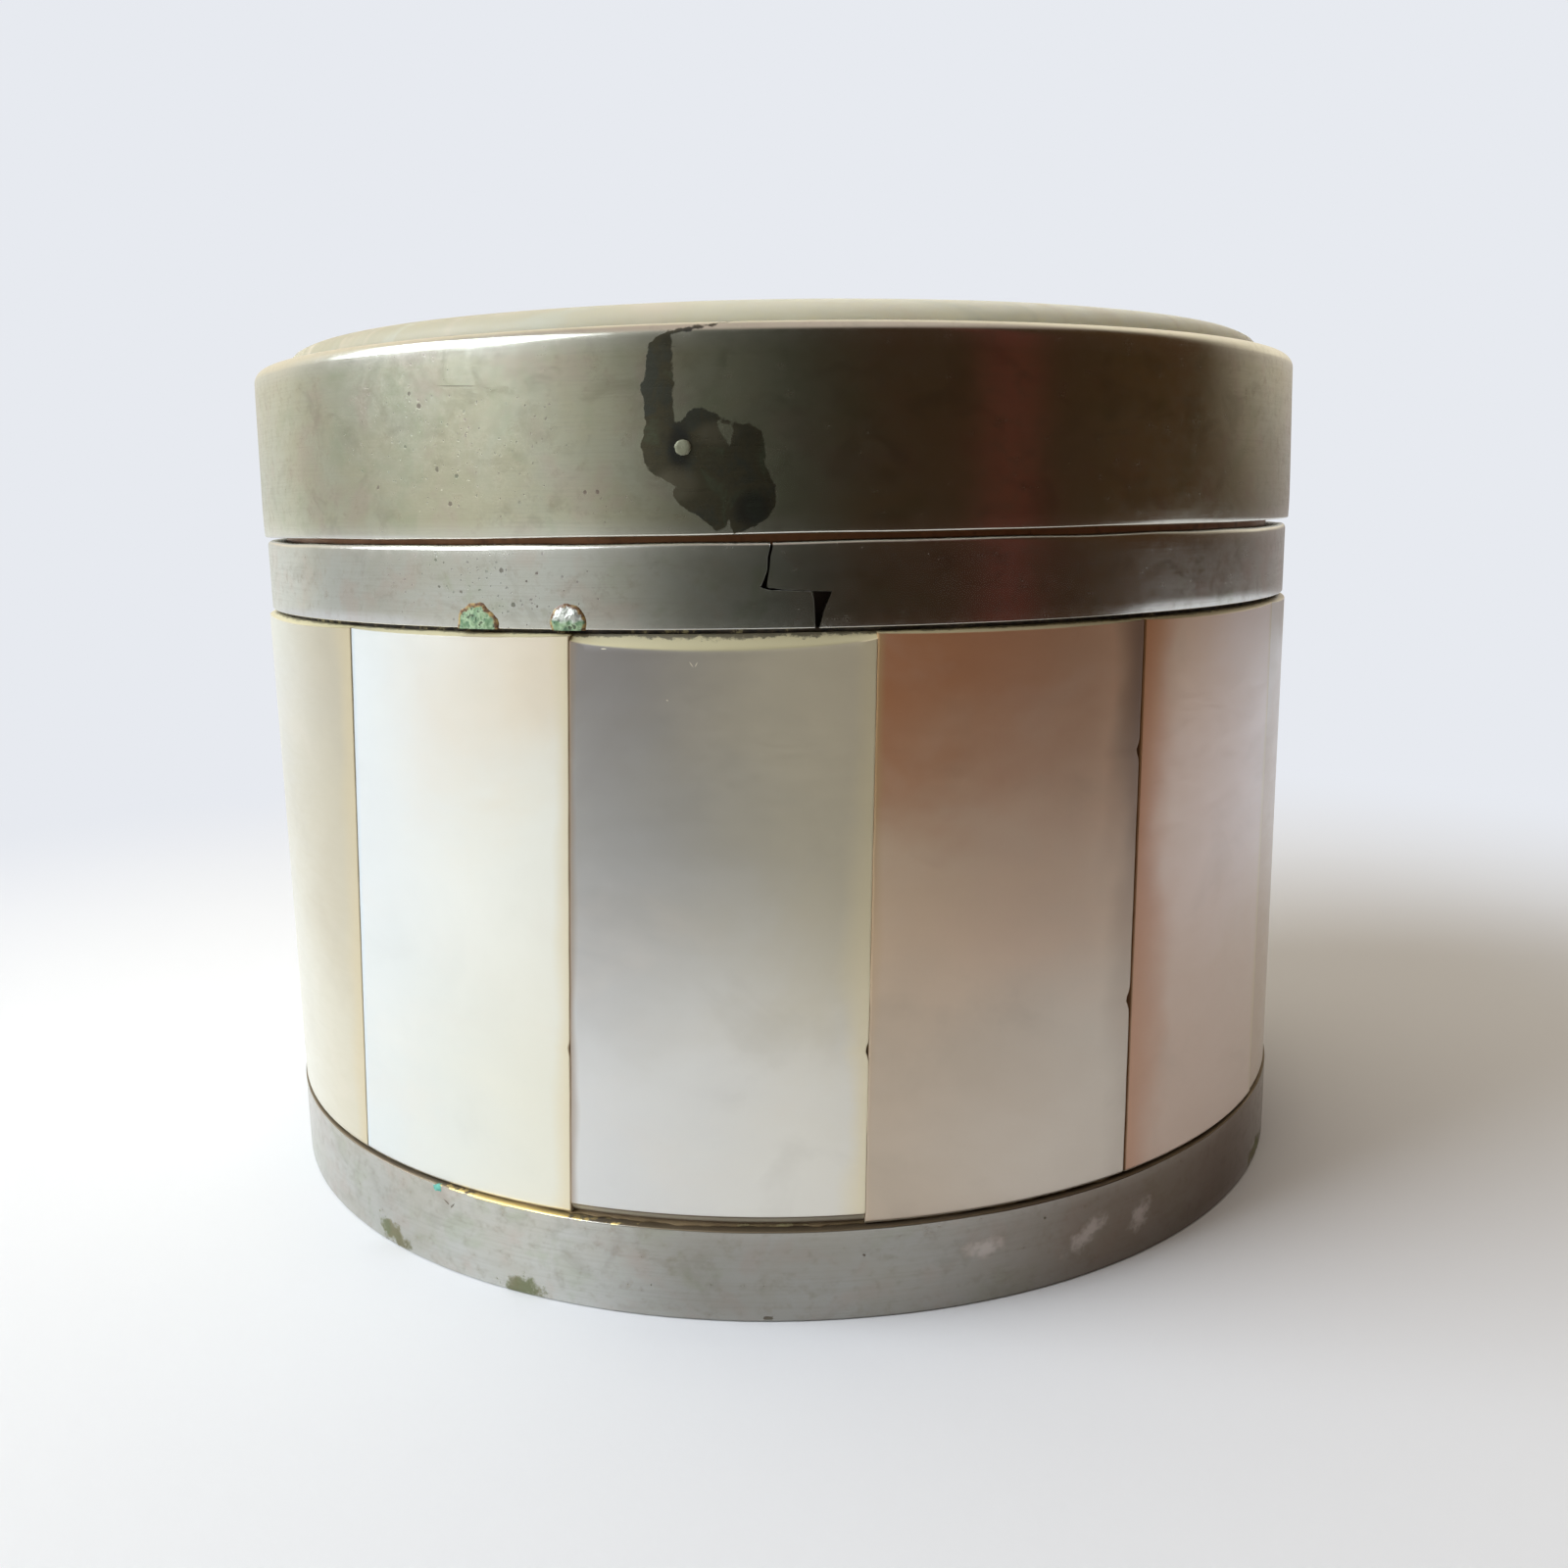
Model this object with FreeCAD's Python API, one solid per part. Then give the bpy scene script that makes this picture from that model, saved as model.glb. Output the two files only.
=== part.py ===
import FreeCAD, Part
import math
import os

# Round trinket box with a slip lid, in millimetres.
#
# A metal tube stands on a floor plate.  A foot ring and a collar are wrapped round it, and
# mother-of-pearl slats are cemented to it between them.  The tube stands above the collar, and
# the lid slips over it: a metal band with a turned-in lip, closed by a plate, with a domed
# mother-of-pearl disc cemented on the plate inside the lip.
#
# The origin is the centre of the base, +Z is up, and the front, with the band joints, is -Y.
# Angles round the box are in degrees from the front, positive towards +X.

# Tube and floor
TUBE_OUTER = 21.50
TUBE_WALL = 0.60
TUBE_TOP = 31.65
FLOOR_THICKNESS = 0.80

# Foot ring
FOOT_OUTER = 22.65
FOOT_TOP = 3.35
FOOT_EDGE = 0.12

# Collar
COLLAR_OUTER = 22.30
COLLAR_BOTTOM = 23.84
COLLAR_TOP = 26.62
COLLAR_EDGE = 0.08

# Slats
SLAT_COUNT = 14
SLAT_OUTER = 22.42
SLAT_BACK = 21.65
SLAT_BOTTOM = 3.42
SLAT_TOP = 23.70
SLAT_CHAMFER = 0.30
JOINT_WIDTH = 0.06
FIRST_JOINT = 7.60
# Each joint's turn from its even place and its lean from the vertical, in degrees.
JOINT_FITS = (
    (0.1, 1.5), (0.7, 0.7), (0.5, 0.3), (-0.3, -0.5), (0.2, 0.9), (-0.4, 0.3), (0.3, -0.8),
    (0.0, 0.4), (-0.2, 1.2), (0.4, -0.4), (-0.1, 0.7), (0.1, 0.9), (-0.7, 4.2), (-0.4, 2.5),
)
CEMENT_OUTER = 22.00

# The collar's stepped joint: a crack down from the top edge, a step across to the right, and a
# wedge that has opened down to the bottom edge.  Corners are (x, z) on the front of the box.
COLLAR_JOINT = (
    (-0.12, 27.00), (-0.42, 25.10), (1.23, 24.95), (1.24, 23.60),
    (1.34, 23.60), (1.82, 25.02), (-0.30, 25.20), (-0.02, 27.00),
)

# Pins: angle from the front and height.  The collar's pins are cut off flush with its lower edge.
PIN_RADIUS = 0.65
PIN_PROUD = 0.06
COLLAR_PINS = ((-26.4, 24.07), (-17.5, 24.07))
LID_PIN_RADIUS = 0.25
LID_PIN = (-7.1, 29.50)

# Lid
LID_OUTER = 22.43
LID_WALL = 0.80
LID_BOTTOM = 26.82
LID_TOP = 33.28
LID_ROUND = 0.45
LID_HEM = 0.12
LIP_INNER = 20.98
PLATE_GAP = 0.05
PLATE_THICKNESS = 0.50
BED_THICKNESS = 0.30

# The lid's shell disc: a rim that stands above the lip, and a dome of rise * (1 - (r / R) ** power)
SHELL_RADIUS = 20.96
SHELL_RIM = 34.00
SHELL_RISE = 1.34
SHELL_POWER = 2.5
SHELL_EDGE = 0.25
DOME_POINTS = 8

LID_INNER = LID_OUTER - LID_WALL
PLATE_BOTTOM = TUBE_TOP + PLATE_GAP
PLATE_TOP = PLATE_BOTTOM + PLATE_THICKNESS
BED_TOP = PLATE_TOP + BED_THICKNESS

UP = FreeCAD.Vector(0, 0, 1)
CENTRE = FreeCAD.Vector(0, 0, 0)


def disc(radius, bottom, top):
    """A plain round plate between two heights."""
    return Part.makeCylinder(radius, top - bottom, FreeCAD.Vector(0, 0, bottom))


def ring(outer, inner, bottom, top):
    """A plain band between two radii and two heights."""
    return disc(outer, bottom, top).cut(disc(inner, bottom, top))


def outward(angle):
    """The unit vector that points out of the box at an angle from the front."""
    turn = math.radians(angle)
    return FreeCAD.Vector(math.sin(turn), -math.cos(turn), 0)


def round_edges(shape, size, circles):
    """Fillet the circular edges given as (radius, height) pairs."""
    picked = []
    for radius, height in circles:
        for edge in shape.Edges:
            box = edge.BoundBox
            level = abs(box.ZMin - height) < 1e-3 and abs(box.ZMax - height) < 1e-3
            if level and abs(box.XMax - radius) < 1e-3:
                picked.append(edge)
    return shape.makeFillet(size, picked)


def revolve(edges):
    """A solid of revolution about Z from the edges of a closed outline in the XZ plane."""
    face = Part.Face(Part.Wire(edges))
    return face.revolve(CENTRE, UP, 360)


def outline_edges(points):
    """Straight edges through (radius, height) points, closed back to the first."""
    corners = [FreeCAD.Vector(x, 0, z) for x, z in points]
    following = corners[1:] + corners[:1]
    return [Part.LineSegment(a, b).toShape() for a, b in zip(corners, following)]


def chamfered_outline(inner, outer, bottom, top, chamfer):
    """The section of a band whose two outer edges are chamfered."""
    return [
        (inner, bottom),
        (outer - chamfer, bottom),
        (outer, bottom + chamfer),
        (outer, top - chamfer),
        (outer - chamfer, top),
        (inner, top),
    ]


def front_prism(corners):
    """A flat outline of (x, z) corners on the front of the box, cut right through the wall."""
    near = -(LID_OUTER + 2)
    points = [FreeCAD.Vector(x, near, z) for x, z in corners]
    outline = Part.makePolygon(points + points[:1])
    return Part.Face(outline).extrude(FreeCAD.Vector(0, 4 + LID_WALL, 0))


def radial_pin(radius, place, inner, outer):
    """A round pin through the wall at (angle, height), with a slightly domed end."""
    angle, height = place
    direction = outward(angle)
    start = direction * inner + UP * height
    pin = Part.makeCylinder(radius, outer - inner, start, direction)
    rim = [edge for edge in pin.Edges if abs(edge.CenterOfMass.dot(direction) - outer) < 1e-3]
    return pin.makeChamfer(PIN_PROUD * 0.9, rim)


def make_floor():
    return disc(TUBE_OUTER, 0, FLOOR_THICKNESS)


def make_tube():
    return ring(TUBE_OUTER, TUBE_OUTER - TUBE_WALL, FLOOR_THICKNESS, TUBE_TOP)


def make_foot_ring():
    band = ring(FOOT_OUTER, TUBE_OUTER, 0, FOOT_TOP)
    return round_edges(band, FOOT_EDGE, [(FOOT_OUTER, 0), (FOOT_OUTER, FOOT_TOP)])


def make_collar(pins):
    """The collar strip, whose ends meet in a stepped joint that has opened at the bottom."""
    outline = chamfered_outline(TUBE_OUTER, COLLAR_OUTER, COLLAR_BOTTOM, COLLAR_TOP, COLLAR_EDGE)
    return revolve(outline_edges(outline)).cut([front_prism(COLLAR_JOINT), pins])


def make_collar_pins():
    """The two pins that hold the collar, each filed off at the collar's lower edge."""
    span = disc(COLLAR_OUTER + 1, COLLAR_BOTTOM, COLLAR_TOP)
    outer = COLLAR_OUTER + PIN_PROUD
    pins = [radial_pin(PIN_RADIUS, place, TUBE_OUTER, outer).common(span) for place in COLLAR_PINS]
    return Part.makeCompound(pins)


def joint_plate(index):
    """The thin leaning plate of space between two slats."""
    turn, lean = JOINT_FITS[index]
    height = 2 * (SLAT_TOP - SLAT_BOTTOM)
    middle = (SLAT_TOP + SLAT_BOTTOM) / 2
    depth = SLAT_OUTER - SLAT_BACK + 2
    corner = FreeCAD.Vector(-JOINT_WIDTH / 2, -SLAT_OUTER - 1, middle - height / 2)
    plate = Part.makeBox(JOINT_WIDTH, depth, height, corner)
    plate.rotate(FreeCAD.Vector(0, 0, middle), FreeCAD.Vector(0, 1, 0), lean)
    plate.rotate(CENTRE, UP, FIRST_JOINT + index * 360 / SLAT_COUNT + turn)
    return plate


def angle_from_front(solid):
    """Where a solid stands round the box, from 0 to 360 degrees."""
    centre = solid.CenterOfMass
    return math.degrees(math.atan2(centre.x, -centre.y)) % 360


def make_slats():
    """The curved slats, numbered round the box from the front towards +X."""
    outline = chamfered_outline(SLAT_BACK, SLAT_OUTER, SLAT_BOTTOM, SLAT_TOP, SLAT_CHAMFER)
    plates = [joint_plate(index) for index in range(SLAT_COUNT)]
    slats = revolve(outline_edges(outline)).cut(plates).Solids
    return sorted(slats, key=angle_from_front)


def make_slat_cement(slats):
    """The bed behind the slats, with the fins that show in their joints."""
    return ring(CEMENT_OUTER, TUBE_OUTER, FOOT_TOP, COLLAR_BOTTOM).cut(slats)


def make_lid_band(pin):
    wall = ring(LID_OUTER, LID_INNER, LID_BOTTOM, PLATE_TOP)
    lip = ring(LID_OUTER, LIP_INNER, PLATE_TOP, LID_TOP)
    band = wall.fuse(lip).removeSplitter()
    band = round_edges(band, LID_ROUND, [(LID_OUTER, LID_TOP)])
    band = round_edges(band, LID_HEM, [(LID_OUTER, LID_BOTTOM), (LID_INNER, LID_BOTTOM)])
    return band.cut(pin)


def make_lid_plate():
    return disc(LID_INNER, PLATE_BOTTOM, PLATE_TOP)


def make_lid_cement():
    return disc(LIP_INNER, PLATE_TOP, BED_TOP)


def make_lid_shell():
    """The domed disc: a flat underside, an upright rim with a soft edge, and the dome."""
    def top_at(radius):
        return SHELL_RIM + SHELL_RISE * (1 - (radius / SHELL_RADIUS) ** SHELL_POWER)

    dome_start = SHELL_RADIUS - SHELL_EDGE
    shoulder = top_at(dome_start)
    corner = SHELL_EDGE * (1 - math.sqrt(0.5))
    under_axis = FreeCAD.Vector(0, 0, BED_TOP)
    under_rim = FreeCAD.Vector(SHELL_RADIUS, 0, BED_TOP)
    rim_top = FreeCAD.Vector(SHELL_RADIUS, 0, shoulder - SHELL_EDGE)
    rim_bend = FreeCAD.Vector(SHELL_RADIUS - corner, 0, shoulder - corner)
    steps = [dome_start * (1 - step / DOME_POINTS) for step in range(DOME_POINTS + 1)]
    dome_points = [FreeCAD.Vector(radius, 0, top_at(radius)) for radius in steps]
    dome = Part.BSplineCurve()
    dome.interpolate(dome_points)
    edges = [
        Part.LineSegment(under_axis, under_rim).toShape(),
        Part.LineSegment(under_rim, rim_top).toShape(),
        Part.Arc(rim_top, rim_bend, dome_points[0]).toShape(),
        dome.toShape(),
        Part.LineSegment(dome_points[-1], under_axis).toShape(),
    ]
    return revolve(edges)


def make_box():
    """Every piece, by node name."""
    collar_pins = make_collar_pins()
    lid_pin = radial_pin(LID_PIN_RADIUS, LID_PIN, LID_INNER, LID_OUTER + PIN_PROUD)
    slats = make_slats()
    pieces = {
        "base_plate": make_floor(),
        "base_ring": make_foot_ring(),
        "inner_tube": make_tube(),
        "collar_band": make_collar(collar_pins),
        "collar_pins": collar_pins,
        "slat_cement": make_slat_cement(slats),
        "lid_band": make_lid_band(lid_pin),
        "lid_plate": make_lid_plate(),
        "lid_cement": make_lid_cement(),
        "lid_shell": make_lid_shell(),
        "lid_pin": lid_pin,
    }
    for number, slat in enumerate(slats, start=1):
        pieces[f"shell_slat_{number:02d}"] = slat
    return pieces


os.makedirs("parts", exist_ok=True)
for name, shape in make_box().items():
    shape.exportStep(f"parts/{name}.step")
    print(f"{name}: {len(shape.Solids)} solid, {shape.Volume:.2f} mm3, valid {shape.isValid()}")
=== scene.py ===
import math

import bpy
from mathutils import Matrix, Vector, noise


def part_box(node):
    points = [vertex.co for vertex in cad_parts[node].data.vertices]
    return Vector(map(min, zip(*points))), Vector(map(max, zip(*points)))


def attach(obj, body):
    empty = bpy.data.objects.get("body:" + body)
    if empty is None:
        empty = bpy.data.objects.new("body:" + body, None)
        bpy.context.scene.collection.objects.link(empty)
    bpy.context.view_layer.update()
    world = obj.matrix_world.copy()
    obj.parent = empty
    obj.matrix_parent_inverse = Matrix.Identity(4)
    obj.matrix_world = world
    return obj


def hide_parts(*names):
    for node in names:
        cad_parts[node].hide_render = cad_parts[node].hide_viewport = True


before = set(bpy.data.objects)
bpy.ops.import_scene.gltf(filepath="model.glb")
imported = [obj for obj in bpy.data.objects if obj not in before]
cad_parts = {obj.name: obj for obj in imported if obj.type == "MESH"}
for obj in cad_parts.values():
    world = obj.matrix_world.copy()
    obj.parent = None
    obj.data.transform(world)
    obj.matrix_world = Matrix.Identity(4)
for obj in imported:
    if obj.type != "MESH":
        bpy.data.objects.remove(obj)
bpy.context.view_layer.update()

# The looks of a round trinket box: mother-of-pearl slats between worn nickel-silver bands, under
# a slip lid with a domed mother-of-pearl disc.  Lengths in this file are millimetres in the
# frame's axes, and turn into metres in build_mesh.  Angles round the box are degrees from the
# front (-Y), positive towards +X.

METRE = 0.001


# ---------------------------------------------------------------- sizes read from the frame

def low(node):
    """The lowest point of a CAD node."""
    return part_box(node)[0].z / METRE


def high(node):
    """The highest point of a CAD node."""
    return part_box(node)[1].z / METRE


def reach(node):
    """The outer radius of a round CAD node."""
    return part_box(node)[1].x / METRE


def middle(node):
    """The middle of a CAD node's box."""
    lowest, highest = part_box(node)
    return (lowest + highest) / 2 / METRE


TUBE_RADIUS = reach("inner_tube")
TUBE_WALL = 0.6
FOOT_RADIUS = reach("base_ring")
FOOT_TOP = high("base_ring")
COLLAR_RADIUS = reach("collar_band")
COLLAR_BOTTOM = low("collar_band")
COLLAR_TOP = high("collar_band")
SLAT_FRONT = reach("shell_slat_04")
SLAT_BACK = TUBE_RADIUS + 0.15
SLAT_BOTTOM = low("shell_slat_01")
SLAT_TOP = high("shell_slat_01")
SLAT_NODES = sorted(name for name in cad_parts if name.startswith("shell_slat_"))
LID_RADIUS = reach("lid_band")
LID_BOTTOM = low("lid_band")
LID_TOP = high("lid_band")
PLATE_RADIUS = reach("lid_plate")
PLATE_TOP = high("lid_plate")
LIP_INNER = reach("lid_cement")
SHELL_RADIUS = reach("lid_shell")
SHELL_TOP = high("lid_shell")
SHELL_RISE = 1.34


# ---------------------------------------------------------------- geometry helpers

def on_wall(angle, radius, height):
    """A point at an angle from the front, a radius from the axis and a height."""
    turn = math.radians(angle)
    return Vector((radius * math.sin(turn), -radius * math.cos(turn), height))


def soft_noise(point, size, seed=0.0):
    """Smooth noise from -1 to 1, with features about as large as size."""
    return noise.noise(Vector(point) / size + Vector((seed, seed * 0.7, -seed)))


def from_front(angle):
    """The same angle between -180 and 180 degrees."""
    return (angle + 180) % 360 - 180


def depth_in_spots(spots, angle, height, radius):
    """How deep a place is in (angle, height, half width, half height) ovals on the wall.

    It is 1 in the middle of a spot, 0 at its edge and negative outside.
    """
    depths = [-9.0]
    for middle_angle, middle_height, half_width, half_height, *_ in spots:
        across = math.radians(from_front(angle - middle_angle)) * radius / half_width
        depths.append(1 - math.hypot(across, (height - middle_height) / half_height))
    return max(depths)


def outside_by(outline, x, y):
    """The distance from a point to a closed outline: positive outside it, negative inside."""
    nearest, inside = 1e9, False
    for (ax, ay), (bx, by) in zip(outline, outline[1:] + outline[:1]):
        dx, dy = bx - ax, by - ay
        share = ((x - ax) * dx + (y - ay) * dy) / (dx * dx + dy * dy)
        share = min(1.0, max(0.0, share))
        nearest = min(nearest, math.hypot(x - ax - share * dx, y - ay - share * dy))
        if (ay > y) != (by > y) and x < ax + (y - ay) * dx / dy:
            inside = not inside
    return -nearest if inside else nearest


def grid_faces(rows, length, closed_rows=True, closed_ring=True, start=0):
    """The faces of rows of points that follow each other, closed into rings where asked."""
    faces = []
    for row in range(rows if closed_rows else rows - 1):
        this, following = start + row * length, start + (row + 1) % rows * length
        for point in range(length if closed_ring else length - 1):
            after = (point + 1) % length
            faces.append((this + point, following + point, following + after, this + after))
    return faces


def build_mesh(name, points, faces, attributes=None, uvs=None, sharp=40):
    """An object from points in millimetres, smooth except at edges sharper than an angle."""
    mesh = bpy.data.meshes.new(name)
    mesh.from_pydata([tuple(METRE * value for value in point) for point in points], [], faces)
    for key, values in (attributes or {}).items():
        layer = mesh.attributes.new(key, "FLOAT", "POINT")
        layer.data.foreach_set("value", values)
    if uvs:
        layer = mesh.uv_layers.new(name="across_and_up")
        for loop in mesh.loops:
            layer.data[loop.index].uv = uvs[loop.vertex_index]
    mesh.polygons.foreach_set("use_smooth", [True] * len(mesh.polygons))
    mesh.validate()
    mesh.update()
    mesh.set_sharp_from_angle(angle=math.radians(sharp))
    piece = bpy.data.objects.new(name, mesh)
    bpy.context.scene.collection.objects.link(piece)
    return piece


ARC_STEP = 0.06         # the length of an arc's pieces
BEND_REACH = 0.5        # how far a bent edge's wear and painted highlight reach past its arc


def rounded_outline(corners):
    """A closed (radius, height, bend) outline from (radius, height, fillet, spacing) corners.

    A fillet becomes an arc.  The straight run after a corner is divided at that corner's spacing.
    bend is 1 on the arcs and falls to 0 at BEND_REACH from them.
    """
    arcs = []
    count = len(corners)
    for index, (radius, height, fillet, _) in enumerate(corners):
        here = Vector((radius, height))
        if fillet == 0:
            arcs.append([here])
            continue
        before = (Vector(corners[index - 1][:2]) - here).normalized()
        after = (Vector(corners[(index + 1) % count][:2]) - here).normalized()
        opening = before.angle(after)
        start = here + before * fillet / math.tan(opening / 2)
        end = here + after * fillet / math.tan(opening / 2)
        centre = here + (before + after).normalized() * fillet / math.sin(opening / 2)
        spread = (start - centre).angle_signed(end - centre)
        pieces = max(4, round(abs(spread) * fillet / ARC_STEP))
        arcs.append([centre + Matrix.Rotation(-spread * part / pieces, 2) @ (start - centre)
                     for part in range(pieces + 1)])
    outline = []
    for index, arc in enumerate(arcs):
        following = arcs[(index + 1) % count]
        bend, next_bend = float(len(arc) > 1), float(len(following) > 1)
        outline += [(point.x, point.y, bend) for point in arc]
        start, end = arc[-1], following[0]
        pieces = max(1, round((end - start).length / corners[index][3]))
        for part in range(1, pieces):
            point = start.lerp(end, part / pieces)
            near = max(bend * (1 - (point - start).length / BEND_REACH),
                       next_bend * (1 - (point - end).length / BEND_REACH), 0.0)
            outline.append((point.x, point.y, near))
    return outline


def columns(fine_from, fine_to, fine, coarse):
    """Angles once round the box, closer together between two of them."""
    narrow = round((fine_to - fine_from) / fine)
    wide = round((360 - fine_to + fine_from) / coarse)
    angles = [fine_from + fine * step for step in range(narrow)]
    gap = (360 - narrow * fine) / wide
    return angles + [fine_from + narrow * fine + gap * step for step in range(wide)]


def lathe(name, outline, angles, wobble=None, paint=None, closed=True):
    """A surface of revolution from (radius, height, bend) points.

    wobble(angle, radius, height) gives a small (radius, height) change at each point.
    paint(angle, radius, height) gives changes to the METAL_STATE attributes of each point.
    An outline that isn't closed starts and ends on the axis.
    """
    points, states = [], []
    rows, turns = len(outline), len(angles)
    for angle in map(from_front, angles):
        for radius, height, bend in outline:
            shift = wobble(angle, radius, height) if wobble else (0.0, 0.0)
            points.append(on_wall(angle, radius + shift[0], height + shift[1]))
            painted = paint(angle, radius, height) if paint else {}
            states.append({**METAL_STATE, "bend": bend, **painted})
    faces = grid_faces(turns, rows, closed_ring=closed)
    if not closed:
        for row in (0, rows - 1):
            centre = len(points)
            points.append(Vector((0, 0, outline[row][1])))
            states.append(METAL_STATE)
            for turn in range(turns):
                pair = (turn * rows + row, (turn + 1) % turns * rows + row)
                faces.append((centre, *(reversed(pair) if row == 0 else pair)))
    attributes = {key: [state[key] for state in states] for key in METAL_STATE}
    return build_mesh(name, points, faces, attributes)


def cut_away(piece, outline, name):
    """Cuts a flat (x, z) outline on the front of the box through a piece's wall."""
    count = len(outline)
    near = [Vector((x, -LID_RADIUS - 1, z)) for x, z in outline]
    far = [Vector((x, -TUBE_RADIUS + 0.2, z)) for x, z in outline]
    faces = [tuple(range(count)), tuple(reversed(range(count, 2 * count)))]
    for index in range(count):
        after = (index + 1) % count
        faces.append((index, index + count, after + count, after))
    cutter = build_mesh(name, near + far, faces)
    modifier = piece.modifiers.new("joint", "BOOLEAN")
    modifier.operation = "DIFFERENCE"
    modifier.solver = "EXACT"
    modifier.object = cutter
    bpy.context.view_layer.update()
    finished = piece.evaluated_get(bpy.context.evaluated_depsgraph_get())
    mesh = bpy.data.meshes.new_from_object(finished)
    piece.modifiers.clear()
    piece.data = mesh
    mesh.set_sharp_from_angle(angle=math.radians(40))
    bpy.data.objects.remove(cutter)


# ---------------------------------------------------------------- node helpers

def linear(colour):
    """Display values from 0 to 255 as linear light.  A colour up to 1 is linear light already."""
    if max(colour) <= 1:
        return colour
    channels = [channel / 255 for channel in colour]
    return [c / 12.92 if c <= 0.04045 else ((c + 0.055) / 1.055) ** 2.4 for c in channels]


class NodeTree:
    """A node tree, with short calls for the nodes that this file uses."""

    def __init__(self, tree):
        self.tree = tree

    def add(self, kind, **settings):
        node = self.tree.nodes.new(kind)
        for key, value in settings.items():
            setattr(node, key, value)
        return node

    def feed(self, socket, value):
        """Links an output to a socket, or sets the socket's own value."""
        if isinstance(value, bpy.types.NodeSocket):
            self.tree.links.new(value, socket)
        elif socket.type == "RGBA":
            socket.default_value = (*linear(value), 1.0)
        else:
            socket.default_value = value

    def math(self, operation, first, second=0.0, third=0.0):
        node = self.add("ShaderNodeMath", operation=operation)
        for socket, value in zip(node.inputs, (first, second, third)):
            self.feed(socket, value)
        return node.outputs[0]

    def plus(self, first, *others):
        for other in others:
            first = self.math("ADD", first, other)
        return first

    def times(self, first, second):
        return self.math("MULTIPLY", first, second)

    def larger(self, first, second):
        return self.math("MAXIMUM", first, second)

    def ramp(self, value, start, end, low_value=0.0, high_value=1.0, smooth=True):
        """Maps value from start..end to low_value..high_value and clamps it."""
        node = self.add("ShaderNodeMapRange", clamp=True)
        node.interpolation_type = "SMOOTHSTEP" if smooth else "LINEAR"
        for socket, number in zip(node.inputs, (value, start, end, low_value, high_value)):
            self.feed(socket, number)
        return node.outputs[0]

    def blend(self, share, first, second):
        """Mixes two colours."""
        node = self.add("ShaderNodeMix", data_type="RGBA")
        self.feed(node.inputs[0], share)
        self.feed(node.inputs[6], first)
        self.feed(node.inputs[7], second)
        return node.outputs[2]

    def layers(self, colour, *layers):
        """Lays tones over a colour, as (pattern, start, end, share, tone) rows.

        A tone comes in as its pattern goes from start to end, up to its share.
        """
        for pattern, start, end, share, tone in layers:
            colour = self.blend(self.ramp(pattern, start, end, 0.0, share), colour, tone)
        return colour

    def split(self, vector):
        """The X, Y and Z of a vector."""
        node = self.add("ShaderNodeSeparateXYZ")
        self.feed(node.inputs[0], vector)
        return node.outputs


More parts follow.
